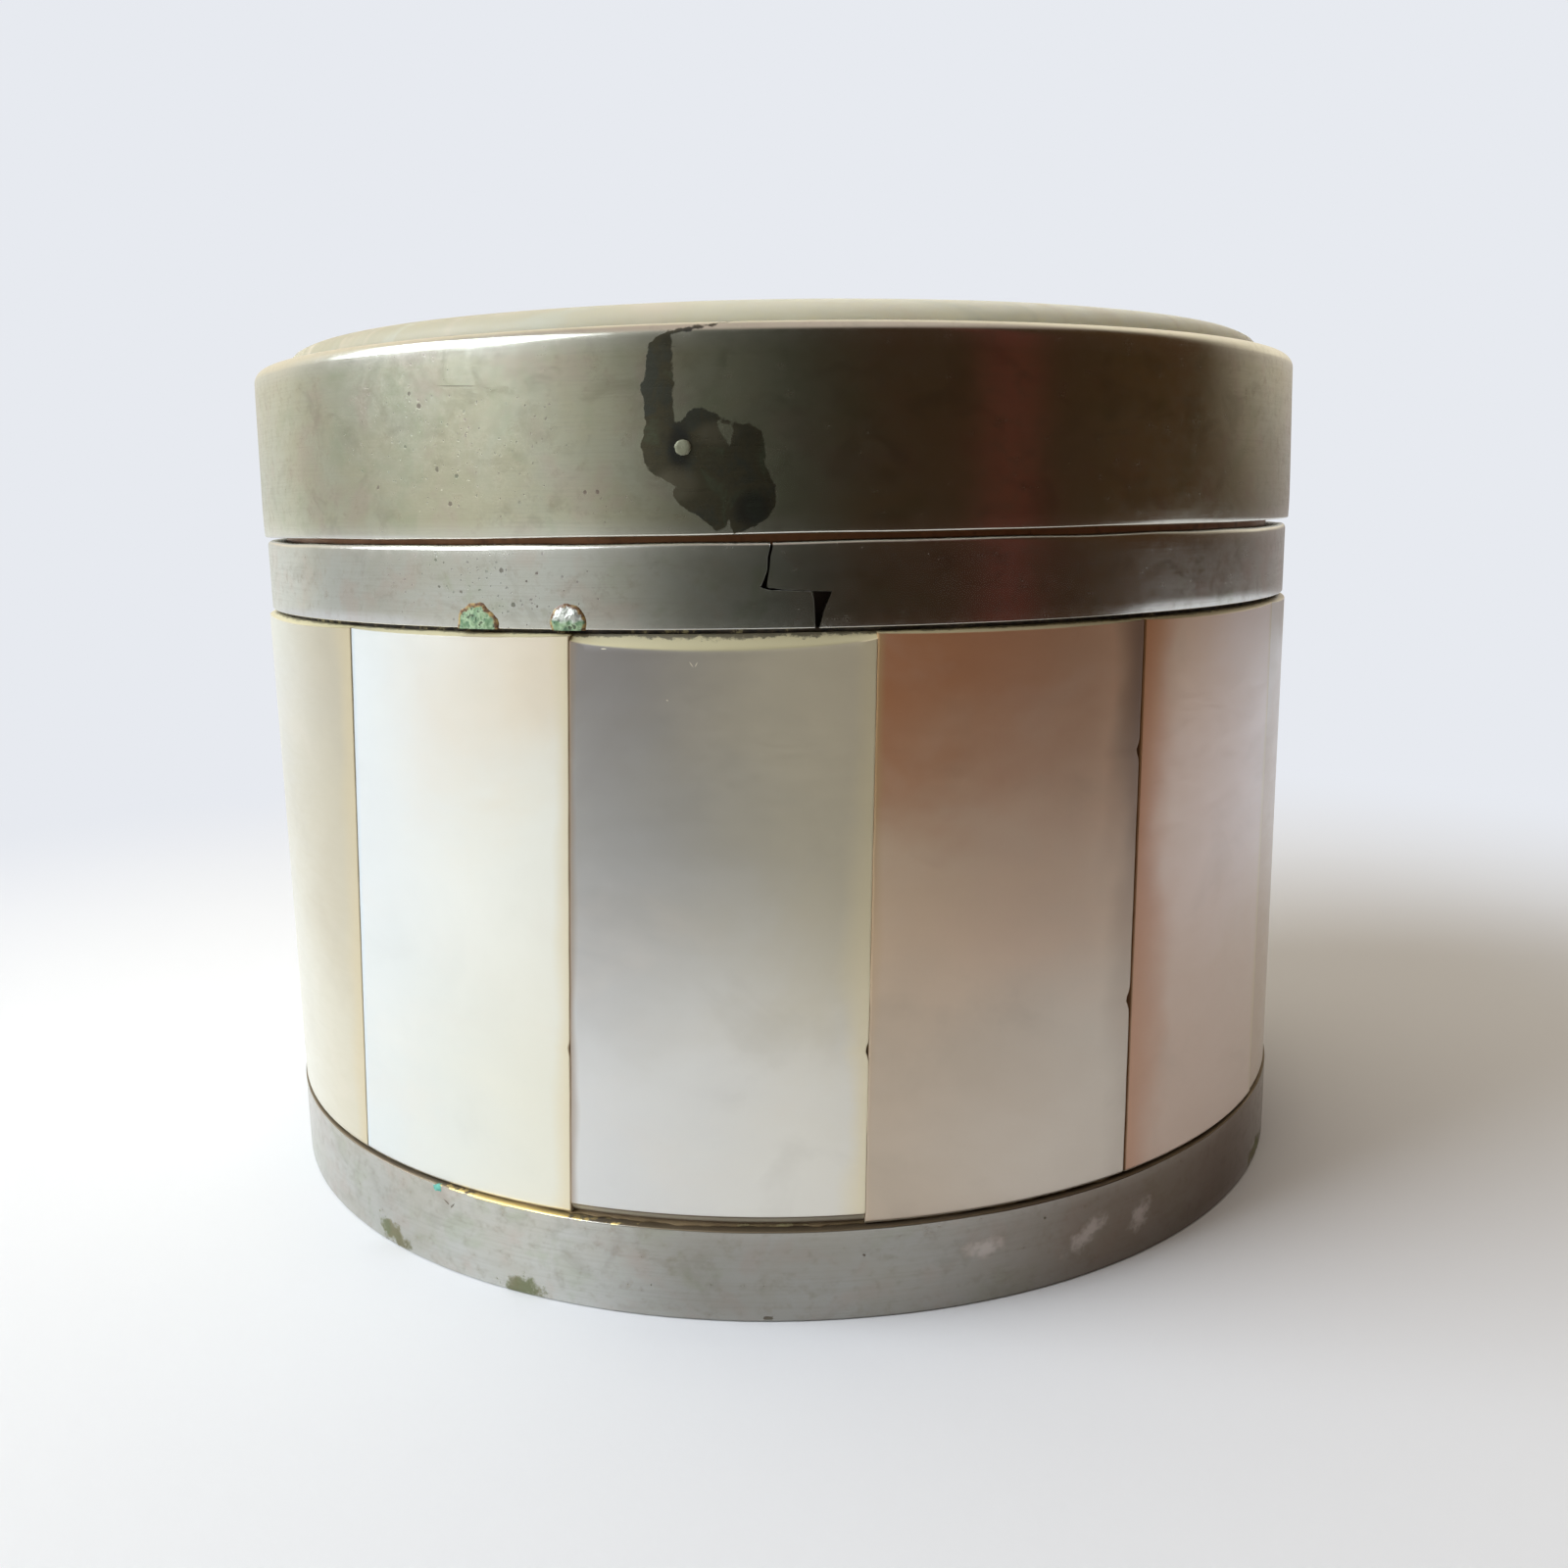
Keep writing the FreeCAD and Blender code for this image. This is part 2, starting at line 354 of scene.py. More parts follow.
class Surface(NodeTree):
    """A material with one Principled surface.  Patterns are laid out in millimetres."""

    def __init__(self, name):
        self.material = bpy.data.materials.new(name)
        self.material.use_nodes = True
        super().__init__(self.material.node_tree)
        self.shader = self.tree.nodes["Principled BSDF"]
        self.place = self.add("ShaderNodeTexCoord").outputs["Object"]

    def stretched(self, scale):
        """The place on the object in millimetres, times a scale for each axis."""
        node = self.add("ShaderNodeMapping")
        node.inputs["Scale"].default_value = [value / METRE for value in scale]
        self.feed(node.inputs["Vector"], self.place)
        return node.outputs[0]

    def where(self):
        """The X, Y and Z of a point on the object, in millimetres."""
        return self.split(self.stretched((1, 1, 1)))

    def noise(self, scale, detail=3.0, roughness=0.55, warp=0.0):
        """Noise from 0 to 1, with features per millimetre along each axis."""
        node = self.add("ShaderNodeTexNoise")
        self.feed(node.inputs["Vector"], self.stretched(scale))
        node.inputs["Scale"].default_value = 1.0
        node.inputs["Detail"].default_value = detail
        node.inputs["Roughness"].default_value = roughness
        node.inputs["Distortion"].default_value = warp
        return node.outputs["Fac"]

    def specks(self, per_millimetre, size, share):
        """Small uneven spots in a share of the cells of a random grid: 1 inside, 0 outside."""
        node = self.add("ShaderNodeTexVoronoi")
        self.feed(node.inputs["Vector"], self.stretched(per_millimetre))
        node.inputs["Scale"].default_value = 1.0
        tint = self.split(node.outputs["Color"])
        chosen = self.math("LESS_THAN", tint[0], share)
        ragged = self.ramp(self.noise((9.0, 9.0, 9.0), detail=2.0), 0.3, 0.7, 0.6, 1.3)
        extent = self.times(self.times(tint[1], size), ragged)
        inside = self.math("SUBTRACT", extent, node.outputs["Distance"])
        return self.times(self.ramp(inside, 0.0, 0.06), chosen)

    def spot(self, place, half_width, half_height, tilt=0.0):
        """How deep a point is in an oval on the wall: 1 in its middle, 0 at its edge.

        place is the (angle, radius, height) of its middle, and tilt turns it, in degrees.
        """
        through_wall = 3.0
        node = self.add("ShaderNodeMapping", vector_type="TEXTURE")
        node.inputs["Location"].default_value = on_wall(*place) * METRE
        node.inputs["Rotation"].default_value = (0.0, math.radians(tilt), math.radians(place[0]))
        node.inputs["Scale"].default_value = Vector((half_width, through_wall, half_height)) * METRE
        self.feed(node.inputs["Vector"], self.place)
        length = self.add("ShaderNodeVectorMath", operation="LENGTH")
        self.feed(length.inputs[0], node.outputs[0])
        return self.math("SUBTRACT", 1.0, length.outputs["Value"])

    def deepest(self, spots, radius):
        """How deep a point is in (angle, height, half width, half height, tilt) ovals on a wall."""
        depth = -9.0
        for angle, height, *shape in spots:
            depth = self.larger(depth, self.spot((angle, radius, height), *shape))
        return depth

    def angle(self):
        """The angle round the box from the front, in degrees."""
        place = self.split(self.place)
        turn = self.math("ARCTAN2", place[0], self.times(place[1], -1.0))
        return self.math("DEGREES", turn)

    def attribute(self, name):
        return self.add("ShaderNodeAttribute", attribute_name=name).outputs["Fac"]

    def bump(self, height, distance, strength=1.0, under=None):
        node = self.add("ShaderNodeBump")
        self.feed(node.inputs["Height"], height)
        node.inputs["Distance"].default_value = distance * METRE
        node.inputs["Strength"].default_value = strength
        if under:
            self.feed(node.inputs["Normal"], under)
        return node.outputs[0]

    def finish(self, **values):
        """Sets the shader's sockets, by name with underscores for spaces."""
        for key, value in values.items():
            self.feed(self.shader.inputs[key.replace("_", " ")], value)
        return self.material


# ---------------------------------------------------------------- camera, stage and light

def make_camera():
    """The camera stands close in front of the box, a little above its middle, on a wide lens."""
    data = bpy.data.cameras.new("camera")
    data.sensor_width = 36.0
    data.lens = 33.69
    data.clip_start = 0.002
    data.clip_end = 20.0
    camera = bpy.data.objects.new("camera", data)
    bpy.context.scene.collection.objects.link(camera)
    place = Vector((0.32, -68.86, 27.76))
    pitch_down = math.radians(10.84)
    turn_left = math.radians(0.15)
    roll = math.radians(-0.96)
    camera.matrix_world = (
        Matrix.Translation(place * METRE)
        @ Matrix.Rotation(turn_left, 4, "Z")
        @ Matrix.Rotation(math.pi / 2 - pitch_down, 4, "X")
        @ Matrix.Rotation(roll, 4, "Z")
    )
    bpy.context.scene.camera = camera


def stage_sheet(name, outline_at, look, steps=96):
    """A round sheet of the stage from the (radius, height) points that outline_at(angle) gives."""
    points = []
    for turn in range(steps):
        angle = from_front(360 * turn / steps)
        outline = outline_at(angle)
        points += [on_wall(angle, radius, height) for radius, height in outline]
    faces = [face[::-1] for face in grid_faces(steps, len(outline), closed_ring=False)]
    sheet = build_mesh(name, points, faces)
    sheet.data.materials.append(look)
    return sheet


def make_floor():
    """White paper that ends a little in front of the box, and an even, pale background.

    The paper's shading turns into the background's even glow away from the box.  The background
    starts under the paper, and only the camera sees it, so the metal mirrors the room instead.
    """
    near_edge, slant, far_edge = 66.0, 0.18, 260.0
    near_half_angle, widens_over = 62.0, 25.0
    backdrop_from, flat_radius, sweep, wall_height = 48.0, 420.0, 500.0, 1100.0
    under, rings = -0.5, 24
    glow_from, glow_full = 40.0, 95.0

    def paper_outline(angle):
        front_edge = near_edge - slant * angle
        share = min(1.0, max(0.0, (abs(angle) - near_half_angle) / widens_over))
        edge = front_edge + (far_edge - front_edge) * share
        return [(edge * step / rings, 0.0) for step in range(rings + 1)]

    def backdrop_outline(angle):
        rise = [math.pi / 2 * step / rings for step in range(rings + 1)]
        bend = [(flat_radius + sweep * math.sin(turn), sweep * (1 - math.cos(turn)) + under)
                for turn in rise]
        start = [(backdrop_from, under), (far_edge, under)]
        return start + bend + [(flat_radius + sweep, wall_height)]

    paper = Surface("paper")
    fibre = paper.noise((1.2, 1.2, 1.2), detail=6.0, roughness=0.7)
    paper.finish(Base_Color=(236, 237, 239), Roughness=0.9, Specular_IOR_Level=0.1,
                 Normal=paper.bump(fibre, 0.02, 0.5))
    glow = paper.add("ShaderNodeEmission")
    paper.feed(glow.inputs["Color"], (231, 234, 240))
    x, y, _ = paper.where()
    distance = paper.math("SQRT", paper.plus(paper.times(x, x), paper.times(y, y)))
    mix = paper.add("ShaderNodeMixShader")
    paper.feed(mix.inputs[0], paper.ramp(distance, glow_from, glow_full))
    paper.feed(mix.inputs[1], paper.shader.outputs[0])
    paper.feed(mix.inputs[2], glow.outputs[0])
    paper.feed(paper.tree.nodes["Material Output"].inputs[0], mix.outputs[0])
    stage_sheet("floor", paper_outline, paper.material)
    backdrop = stage_sheet("backdrop", backdrop_outline, paper.material)
    backdrop.visible_glossy = False
    backdrop.visible_diffuse = False
    backdrop.visible_shadow = False


def make_light(name, place, aim, width, height, power, colour):
    """A soft rectangle of light that the camera doesn't see."""
    data = bpy.data.lights.new(name, "AREA")
    data.shape = "RECTANGLE"
    data.size = width * METRE
    data.size_y = height * METRE
    data.energy = power
    data.color = colour
    light = bpy.data.objects.new(name, data)
    light.location = Vector(place) * METRE
    direction = (Vector(aim) - Vector(place)).normalized()
    light.rotation_mode = "QUATERNION"
    light.rotation_quaternion = direction.to_track_quat("-Z", "Y")
    light.visible_camera = False
    bpy.context.scene.collection.objects.link(light)


# The folds in the bright side of the room: each changes its brightness between two angles.
CURTAINS = ((-126, -108, 1.20, 0.75), (-96, -74, 1.0, 1.24), (-60, -46, 1.0, 0.93))


def make_world():
    """A room that is bright on the window's side, and dark in front and on the right."""
    world = bpy.data.worlds.new("room")
    world.use_nodes = True
    bpy.context.scene.world = world
    room = NodeTree(world.node_tree)
    direction = room.split(room.add("ShaderNodeTexCoord").outputs["Generated"])
    turn = room.math("ARCTAN2", direction[0], room.times(direction[1], -1.0))
    angle = room.math("DEGREES", turn)
    upward = direction[2]
    window_side = room.times(room.ramp(angle, -50, -14, 1.0, 0.0),
                             room.ramp(angle, -180, -145, 0.55, 1.0))
    for start, end, before, after in CURTAINS:
        window_side = room.times(window_side, room.ramp(angle, start, end, before, after))
    window_side = room.times(window_side, room.ramp(upward, 0.02, -0.03, 1.0, 1.22))
    from_red = room.math("ABSOLUTE", room.math("SUBTRACT", angle, 49.0))
    colour = room.layers(
        (0.120, 0.122, 0.105),
        (angle, -20, 8, 1.0, (0.042, 0.042, 0.032)),
        (angle, 0, 24, 1.0, (0.042, 0.024, 0.013)),
        (from_red, 9.0, 3.0, 0.8, (0.110, 0.032, 0.024)),
        (angle, 56, 86, 1.0, (0.062, 0.033, 0.014)),
        (angle, 95, 165, 1.0, (0.42, 0.385, 0.37)))
    colour = room.blend(room.times(window_side, 0.68), colour, (0.88, 0.90, 0.85))
    behind = room.times(room.ramp(room.math("ABSOLUTE", angle), 95, 140),
                        room.ramp(upward, 0.0, 0.22))
    colour = room.blend(behind, colour, (1.00, 0.91, 0.73))
    colour = room.layers(colour, (upward, 0.70, 0.97, 1.0, (0.60, 0.52, 0.47)))
    background = room.tree.nodes["Background"]
    room.feed(background.inputs["Color"], colour)


def make_stage():
    bpy.context.scene.view_settings.view_transform = "Standard"
    make_camera()
    make_floor()
    make_world()
    make_light("window", place=(-306, -82, 218), aim=(0, 0, 15), width=290, height=230,
               power=1.5, colour=(0.93, 1.0, 1.08))


# ---------------------------------------------------------------- metal

# What each point of a metal piece carries for the shader: how bent its edge is, and the distance
# in millimetres to the outline of the black stain.
METAL_STATE = {"bend": 0.0, "stain": 9.0}

# The foot ring's grime and painted shade: darker round its front and browner towards its right, as
# painted shade where it mirrors the shadowed floor. Each comes in between two angles, up to a
# share, in a tone.
SHADE_AND_GRIME = (
    (-24, -6, 0.60, (112, 106, 96)),
    (6, 36, 0.66, (92, 68, 48)),
    (38, 56, 0.60, (84, 54, 36)),
    (-28, -44, 0.22, (120, 118, 108)),
)


def metal_pits(metal, inside):
    """Two sizes of specks in the pitted places, and the single pits."""
    pitting = metal.larger(inside("pitting", 0.0), 0.0)
    small = metal.times(metal.specks((6.0, 6.0, 6.6), 0.36, metal.times(pitting, 0.8)), 0.7)
    large = metal.specks((2.2, 2.2, 2.4), 0.20, metal.times(pitting, 0.28))
    single = metal.ramp(inside("pit"), 0.25, 0.45)
    return metal.larger(metal.larger(small, large), single)


def shade_and_grime_over(metal, colour):
    """The foot ring's grime and painted shade, which thin out towards the back."""
    angle = metal.angle()
    towards_front = metal.ramp(metal.math("ABSOLUTE", angle), 178, 110)
    for start, end, share, tone in SHADE_AND_GRIME:
        # Painted shade over some grime: darker where the ring mirrors the shadowed floor.
        shade_and_grime = metal.times(metal.ramp(angle, start, end, 0.0, share), towards_front)
        colour = metal.blend(shade_and_grime, colour, tone)
    return colour


def nickel_silver(name, radius, clean, warm, marks, grimy_and_shaded=False):
    """Old nickel silver: brushed round the box, pitted, tarnished and stained.

    marks has lists of (angle, height, half width, half height, tilt) ovals on the wall, by kind.
    """
    metal = Surface(name)
    streaks = metal.noise((0.25, 0.25, 13.0), detail=4.0, roughness=0.7)
    cloud = metal.noise((0.20, 0.20, 0.26), detail=5.0, roughness=0.6, warp=0.5)
    tint = metal.noise((0.45, 0.45, 0.5), detail=3.0, roughness=0.6, warp=0.3)
    mottle = metal.noise((2.1, 2.1, 2.4), detail=4.0, roughness=0.65)
    patch = metal.noise((0.9, 0.9, 0.7), detail=4.0, roughness=0.6, warp=0.4)
    broad = metal.noise((0.55, 0.55, 0.7), detail=4.0, roughness=0.65, warp=0.8)
    ragged = metal.ramp(mottle, 0.3, 0.7, -0.45, 0.45, False)
    bend = metal.attribute("bend")

    def inside(kind, unevenness=1.0):
        """How deep a point is in the marks of a kind, with an uneven edge."""
        depth = metal.deepest(marks.get(kind, ()), radius)
        return metal.plus(depth, metal.times(ragged, unevenness))

    pits = metal_pits(metal, inside)
    moss = metal.ramp(inside("moss"), -0.05, 0.5)
    crust = metal.ramp(inside("crust"), 0.2, 0.35)

    colour = metal.layers(
        clean,
        (cloud, 0.34, 0.66, 1.0, warm),
        (tint, 0.50, 0.68, 0.36, (206, 186, 176)),
        (tint, 0.46, 0.30, 0.34, (176, 186, 156)),
        (mottle, 0.50, 0.74, 0.34, (150, 136, 112)),
        (streaks, 0.42, 0.70, 0.13, (140, 130, 112)),
        (broad, 0.50, 0.68, 0.22, (132, 124, 104)))
    edge_wear_and_highlight, ledge = 0.55, 0.0
    # On the foot ring: grime and painted shade by angle, only faint pale edges, and a dark ledge.
    if grimy_and_shaded:
        colour = shade_and_grime_over(metal, colour)
        edge_wear_and_highlight = 0.08
        ledge = metal.ramp(metal.where()[2], FOOT_TOP - 0.05, FOOT_TOP - 0.01)
    colour = metal.layers(colour, (inside("worn"), 0.0, 0.9, 0.3, (226, 212, 204)))
    # The bends are painted pale: a painted highlight on the collar's and lid's rounded edges, and
    # only a little wear on the foot ring.
    colour = metal.blend(metal.times(bend, edge_wear_and_highlight), colour, (228, 226, 220))
    colour = metal.blend(metal.times(ledge, 0.85), colour, (122, 106, 82))
    # A painted highlight: a gold glint on part of the foot ring's top edge.
    painted_glint = metal.times(bend, metal.ramp(inside("painted_glint"), 0.0, 0.3))
    colour = metal.blend(painted_glint, colour, (255, 232, 164))
    colour = metal.layers(colour, (inside("scratch", 0.5), 0.0, 0.4, 0.6, (120, 116, 104)))
    pit_colour = metal.blend(metal.ramp(tint, 0.35, 0.6), (84, 88, 60), (84, 62, 46))
    colour = metal.blend(metal.times(pits, 0.8), colour, pit_colour)
    moss_colour = metal.blend(metal.ramp(patch, 0.4, 0.6), (112, 118, 74), (124, 118, 78))
    colour = metal.blend(metal.times(moss, 0.8), colour, moss_colour)
    crust_colour = metal.blend(metal.ramp(mottle, 0.35, 0.65), (66, 142, 128), (120, 196, 178))
    colour = metal.blend(crust, colour, crust_colour)

    fringe = metal.ramp(metal.noise((4.0, 4.0, 4.0), detail=3.0), 0.3, 0.7, -0.05, 0.05, False)
    stain = metal.ramp(metal.plus(metal.attribute("stain"), fringe), 0.03, -0.03)
    film = metal.layers(
        (106, 107, 98),
        (patch, 0.36, 0.52, 1.0, (116, 110, 92)),
        (patch, 0.52, 0.66, 1.0, (122, 126, 106)),
        (mottle, 0.45, 0.75, 0.6, (82, 80, 70)),
        (inside("soot", 0.0), 0.0, 0.6, 0.6, (58, 60, 66)),
        (inside("faded", 0.0), 0.0, 0.6, 0.6, (150, 142, 124)))
    colour = metal.blend(stain, colour, film)

    rough = metal.plus(
        metal.ramp(streaks, 0.3, 0.7, 0.18, 0.22), metal.ramp(mottle, 0.4, 0.8, 0.0, 0.08),
        metal.times(metal.larger(pits, moss), 0.3), metal.times(stain, 0.08),
        metal.times(crust, 0.5), metal.times(ledge, 0.4))
    relief = metal.plus(metal.times(stain, 0.8), metal.times(pits, -0.5), metal.times(crust, 4.0))
    normal = metal.bump(relief, 0.004, 0.5)
    normal = metal.bump(streaks, 0.002, 0.15, under=normal)
    waves = metal.noise((0.14, 0.14, 0.22), detail=2.0)
    normal = metal.bump(waves, 0.10, 0.2, under=normal)
    dull = metal.larger(crust, metal.times(pits, 0.7))
    return metal.finish(Base_Color=colour, Metallic=metal.ramp(dull, 0.0, 1.0, 1.0, 0.0, False),
                        Roughness=rough, Normal=normal)


def old_brass(name, dirt_and_shade_below=-1.0):
    """Red-brown metal of the tube and the insides.

    Its outside is matt with tarnish at the seam, and black below a height: dirt and painted shade
    where the tube shows deep in the collar's crack.
    """
    metal = Surface(name)
    cloud = metal.noise((0.3, 0.3, 0.4), detail=5.0, roughness=0.6)
    streaks = metal.noise((0.4, 0.4, 9.0), detail=3.0)
    mottle = metal.noise((1.8, 1.8, 1.8), detail=4.0)
    x, y, level = metal.where()
    outside = metal.ramp(metal.plus(metal.times(x, x), metal.times(y, y)),
                         (TUBE_RADIUS - 0.4) ** 2, (TUBE_RADIUS - 0.1) ** 2)
    tarnish = metal.times(metal.ramp(level, LID_BOTTOM + 0.9, LID_BOTTOM + 0.3), outside)
    # Dirt and painted shade: black below a height, where the tube lies deep in the collar's crack.
    dirt = metal.times(metal.ramp(level, dirt_and_shade_below, dirt_and_shade_below - 0.1), outside)
    colour = metal.layers(
        (188, 144, 104),
        (cloud, 0.35, 0.7, 1.0, (160, 112, 78)),
        (streaks, 0.4, 0.8, 0.35, (196, 158, 116)),
        (tarnish, 0.0, 1.0, 0.85, (222, 152, 106)),
        (mottle, 0.5, 0.8, 0.5, (104, 70, 50)))
    colour = metal.blend(dirt, colour, (60, 42, 30))
    rough = metal.plus(metal.ramp(cloud, 0.3, 0.7, 0.30, 0.46), metal.times(dirt, 0.3))
    matt = metal.larger(tarnish, dirt)
    return metal.finish(Base_Color=colour, Metallic=metal.ramp(matt, 0.0, 1.0, 0.85, 0.15),
                        Roughness=rough, Normal=metal.bump(streaks, 0.01, 0.5))


# ---------------------------------------------------------------- mother-of-pearl and cement

def nacre(name, look, width):
    """Polished shell over a slat: cloudy colours that run across and down, partly painted shade and
    painted reflection, and warmer edges.
    """
    shell = Surface(name)
    across, up, _ = shell.split(shell.add("ShaderNodeUVMap", uv_map="across_and_up").outputs[0])
    drift = shell.noise((0.12, 0.12, 0.14), detail=4.0, roughness=0.55, warp=0.4)
    shift = shell.ramp(drift, 0.2, 0.8, -0.16, 0.16, smooth=False)
    side = shell.ramp(shell.plus(across, shift), 0.0, 1.0)
    level = shell.plus(up, shift)
    # The head, middle and foot tones carry painted shade and painted reflections on some slats.
    head_tone, middle_tone, foot_tone = (shell.blend(side, left, right)
                                         for left, right in look["rows"])
    cloud = shell.noise((0.20, 0.20, 0.26), detail=4.0, roughness=0.55, warp=0.5)
    colour = shell.layers(
        foot_tone,
        (level, 0.22, 0.62, 1.0, middle_tone),
        (level, 0.58, 0.95, 1.0, head_tone),
        (cloud, 0.50, 0.75, 0.14, (236, 222, 206)),
        (cloud, 0.48, 0.28, look.get("haze", 0.10), (150, 142, 126)))
    from_left = shell.times(across, width)
    from_right = shell.math("SUBTRACT", width, from_left)
    uneven = shell.ramp(shell.noise((0.3, 0.3, 0.25), detail=2.0), 0.3, 0.7, 0.7, 1.5, False)
    for distance, (tone, spread) in ((from_left, look["left"]), (from_right, look["right"])):
        near = shell.ramp(distance, shell.times(uneven, spread), 0.0, 0.0, 0.75)
        near = shell.times(near, shell.ramp(up, 0.1, 0.9, look.get("edge_at_foot", 1.0), 1.0))
        colour = shell.blend(near, colour, tone)
    for distance, share in zip((from_left, from_right), look.get("glue", (0.4, 0.5))):
        colour = shell.layers(colour, (distance, 0.07, 0.02, share, (136, 98, 56)))
    scratch = shell.deepest(look.get("scratches", ()), SLAT_FRONT)
    crumbs = shell.noise((1.4, 1.4, 2.2), detail=5.0, roughness=0.7)
    head, foot = shell.attribute("head"), shell.attribute("foot")
    crumbs_on_head = shell.plus(shell.times(crumbs, 1.5), head)
    # Painted light on the bevels: the head's cream is a painted highlight where it faces up, and
    # the foot's darker tone and dark lines are painted shade where it faces down.
    colour = shell.layers(
        colour,
        (scratch, 0.0, 0.5, 1.0, (244, 236, 214)),
        (head, 0.0, 0.2, 0.9, (216, 206, 164)),
        (crumbs_on_head, 1.42, 1.62, look.get("dirt", 0.6), (82, 74, 60)),
        (foot, 0.0, 0.1, 0.9, (190, 183, 164)))
    lines = shell.plus(shell.ramp(foot, 0.30, 0.12), shell.ramp(foot, 0.55, 0.85))
    lines = shell.times(lines, shell.ramp(foot, 0.0, 0.05, 0.0, 0.8))
    colour = shell.blend(lines, colour, (104, 80, 58))
    growth = shell.noise((0.5, 0.5, 2.2), detail=3.0, roughness=0.6, warp=1.2)
    ends = shell.larger(head, foot)
    return shell.finish(
        Base_Color=colour, Metallic=shell.ramp(ends, 0.0, 0.5, 0.36, 0.0),
        Roughness=shell.plus(shell.ramp(growth, 0.3, 0.7, 0.32, 0.40), shell.times(ends, 0.2)),
        Coat_Weight=0.35, Coat_Roughness=0.18, Coat_IOR=1.55,
        Normal=shell.bump(growth, 0.008, 0.25))


def lid_nacre():
    """The polished disc of the lid: cream, with broad soft bands of growth across it, and painted
    light that makes it lighter towards +X.
    """
    shell = Surface("nacre_lid")
    cloud = shell.noise((0.07, 0.11, 0.1), detail=4.0, roughness=0.5, warp=1.4)
    bands = shell.noise((0.10, 0.42, 0.1), detail=3.0, roughness=0.5, warp=2.2)
    # Painted light: the disc is darker towards -X, where the window lights it most, and lighter
    # towards +X, where it gets less light.
    side = shell.where()[0]
    colour = shell.layers(
        (164, 157, 133),
        (side, -20.0, 18.0, 1.0, (255, 249, 224)),
        (cloud, 0.32, 0.68, 0.2, (234, 228, 204)),
        (bands, 0.50, 0.72, 0.4, (222, 204, 186)),
        (bands, 0.45, 0.28, 0.3, (196, 202, 190)))
    growth = shell.noise((0.35, 1.6, 0.4), detail=3.0, roughness=0.6, warp=1.0)
    return shell.finish(
        Base_Color=colour, Roughness=shell.ramp(growth, 0.3, 0.7, 0.42, 0.50),
        Specular_IOR_Level=0.25, Subsurface_Weight=0.8, Subsurface_Scale=3.0 * METRE,
        Subsurface_Radius=(1.0, 0.95, 0.8), Normal=shell.bump(growth, 0.01, 0.25))


def old_cement():
    """Blackened cement, with pale yellow crumbs where it has come away."""
    cement = Surface("cement")
    grain = cement.noise((3.0, 3.0, 3.0), detail=4.0, roughness=0.7)
    broad = cement.noise((0.3, 0.3, 0.3), detail=3.0)
    level = cement.where()[2]
    crumbs = cement.plus(grain, cement.times(broad, 0.8))
    colour = cement.layers(
        (50, 47, 46),
        (grain, 0.3, 0.7, 1.0, (92, 80, 64)),
        (level, 8.0, 5.0, 0.75, (150, 128, 94)),
        (crumbs, 1.0, 1.12, 1.0, (176, 164, 122)))
    return cement.finish(Base_Color=colour, Roughness=0.8, Normal=cement.bump(grain, 0.05, 0.8))


def corroded_pin(name, silver_from):
    """A pin head under green corrosion, with a rusty rim, bare above a height."""
    pin = Surface(name)
    grain = pin.noise((3.2, 3.2, 3.2), detail=4.0, roughness=0.7)
    fine = pin.noise((6.0, 6.0, 6.0), detail=3.0)
    rim = pin.attribute("bend")
    colour = pin.layers(
        (92, 128, 96),
        (grain, 0.38, 0.58, 1.0, (176, 200, 160)),
        (fine, 0.50, 0.40, 0.6, (128, 160, 116)),
        (fine, 0.56, 0.64, 0.85, (58, 66, 42)))
    height = pin.where()[2]
    bare = pin.ramp(pin.plus(height, pin.times(grain, 0.5)), silver_from + 0.2, silver_from + 0.35)
    colour = pin.blend(bare, colour, (212, 214, 206))
    edge = pin.ramp(pin.plus(rim, pin.times(grain, 0.6)), 1.08, 1.18)
    rust = pin.blend(pin.ramp(fine, 0.4, 0.6), (176, 146, 90), (108, 74, 46))
    colour = pin.blend(edge, colour, rust)
    metallic = pin.times(bare, pin.ramp(edge, 0.0, 1.0, 0.9, 0.0))
    return pin.finish(Base_Color=colour, Metallic=metallic,
                      Roughness=pin.ramp(bare, 0.0, 1.0, 0.75, 0.35),
                      Normal=pin.bump(grain, 0.08, 0.8))


def bright_pin():
    """The bare, dull head of the lid's pin."""
    pin = Surface("bright_pin")
    mottle = pin.noise((5.0, 5.0, 5.0), detail=3.0)
    colour = pin.blend(mottle, (118, 118, 94), (158, 158, 134))
    return pin.finish(Base_Color=colour, Metallic=0.2, Roughness=0.5,
                      Normal=pin.bump(mottle, 0.02, 0.5))


# ---------------------------------------------------------------- the bands

SILVER, SILVER_WARM = (208, 209, 204), (202, 200, 190)
LID_SILVER, LID_SILVER_WARM = (206, 206, 188), (204, 200, 176)

# Marks on the metal, and painted glints, as (angle, height, half width, half height, tilt) ovals.
FOOT_MARKS = {
    "moss": ((-42.0, 0.5, 1.1, 0.5, 20), (-25.0, 0.3, 1.0, 0.5), (63, 0.4, 1.6, 0.5),
             (150, 3.0, 2.0, 0.6)),
    "crust": ((-34.6, 3.20, 0.32, 0.20),),
    "worn": ((17.9, 2.1, 0.9, 0.5), (28.7, 1.6, 1.3, 0.5, -30), (35.6, 1.6, 0.8, 0.6, -40),
             (-110, 1.8, 2.2, 0.7)),
    "painted_glint": ((-25, 3.34, 3.8, 0.05),),
    "pit": ((6.8, 2.38, 0.09, 0.07), (-33.6, 2.78, 0.22, 0.04, 30), (-32.7, 2.70, 0.20, 0.04, -45),
            (-12, 1.2, 0.05, 0.07), (24, 2.7, 0.07, 0.06), (-1.6, 0.16, 0.26, 0.10)),
}
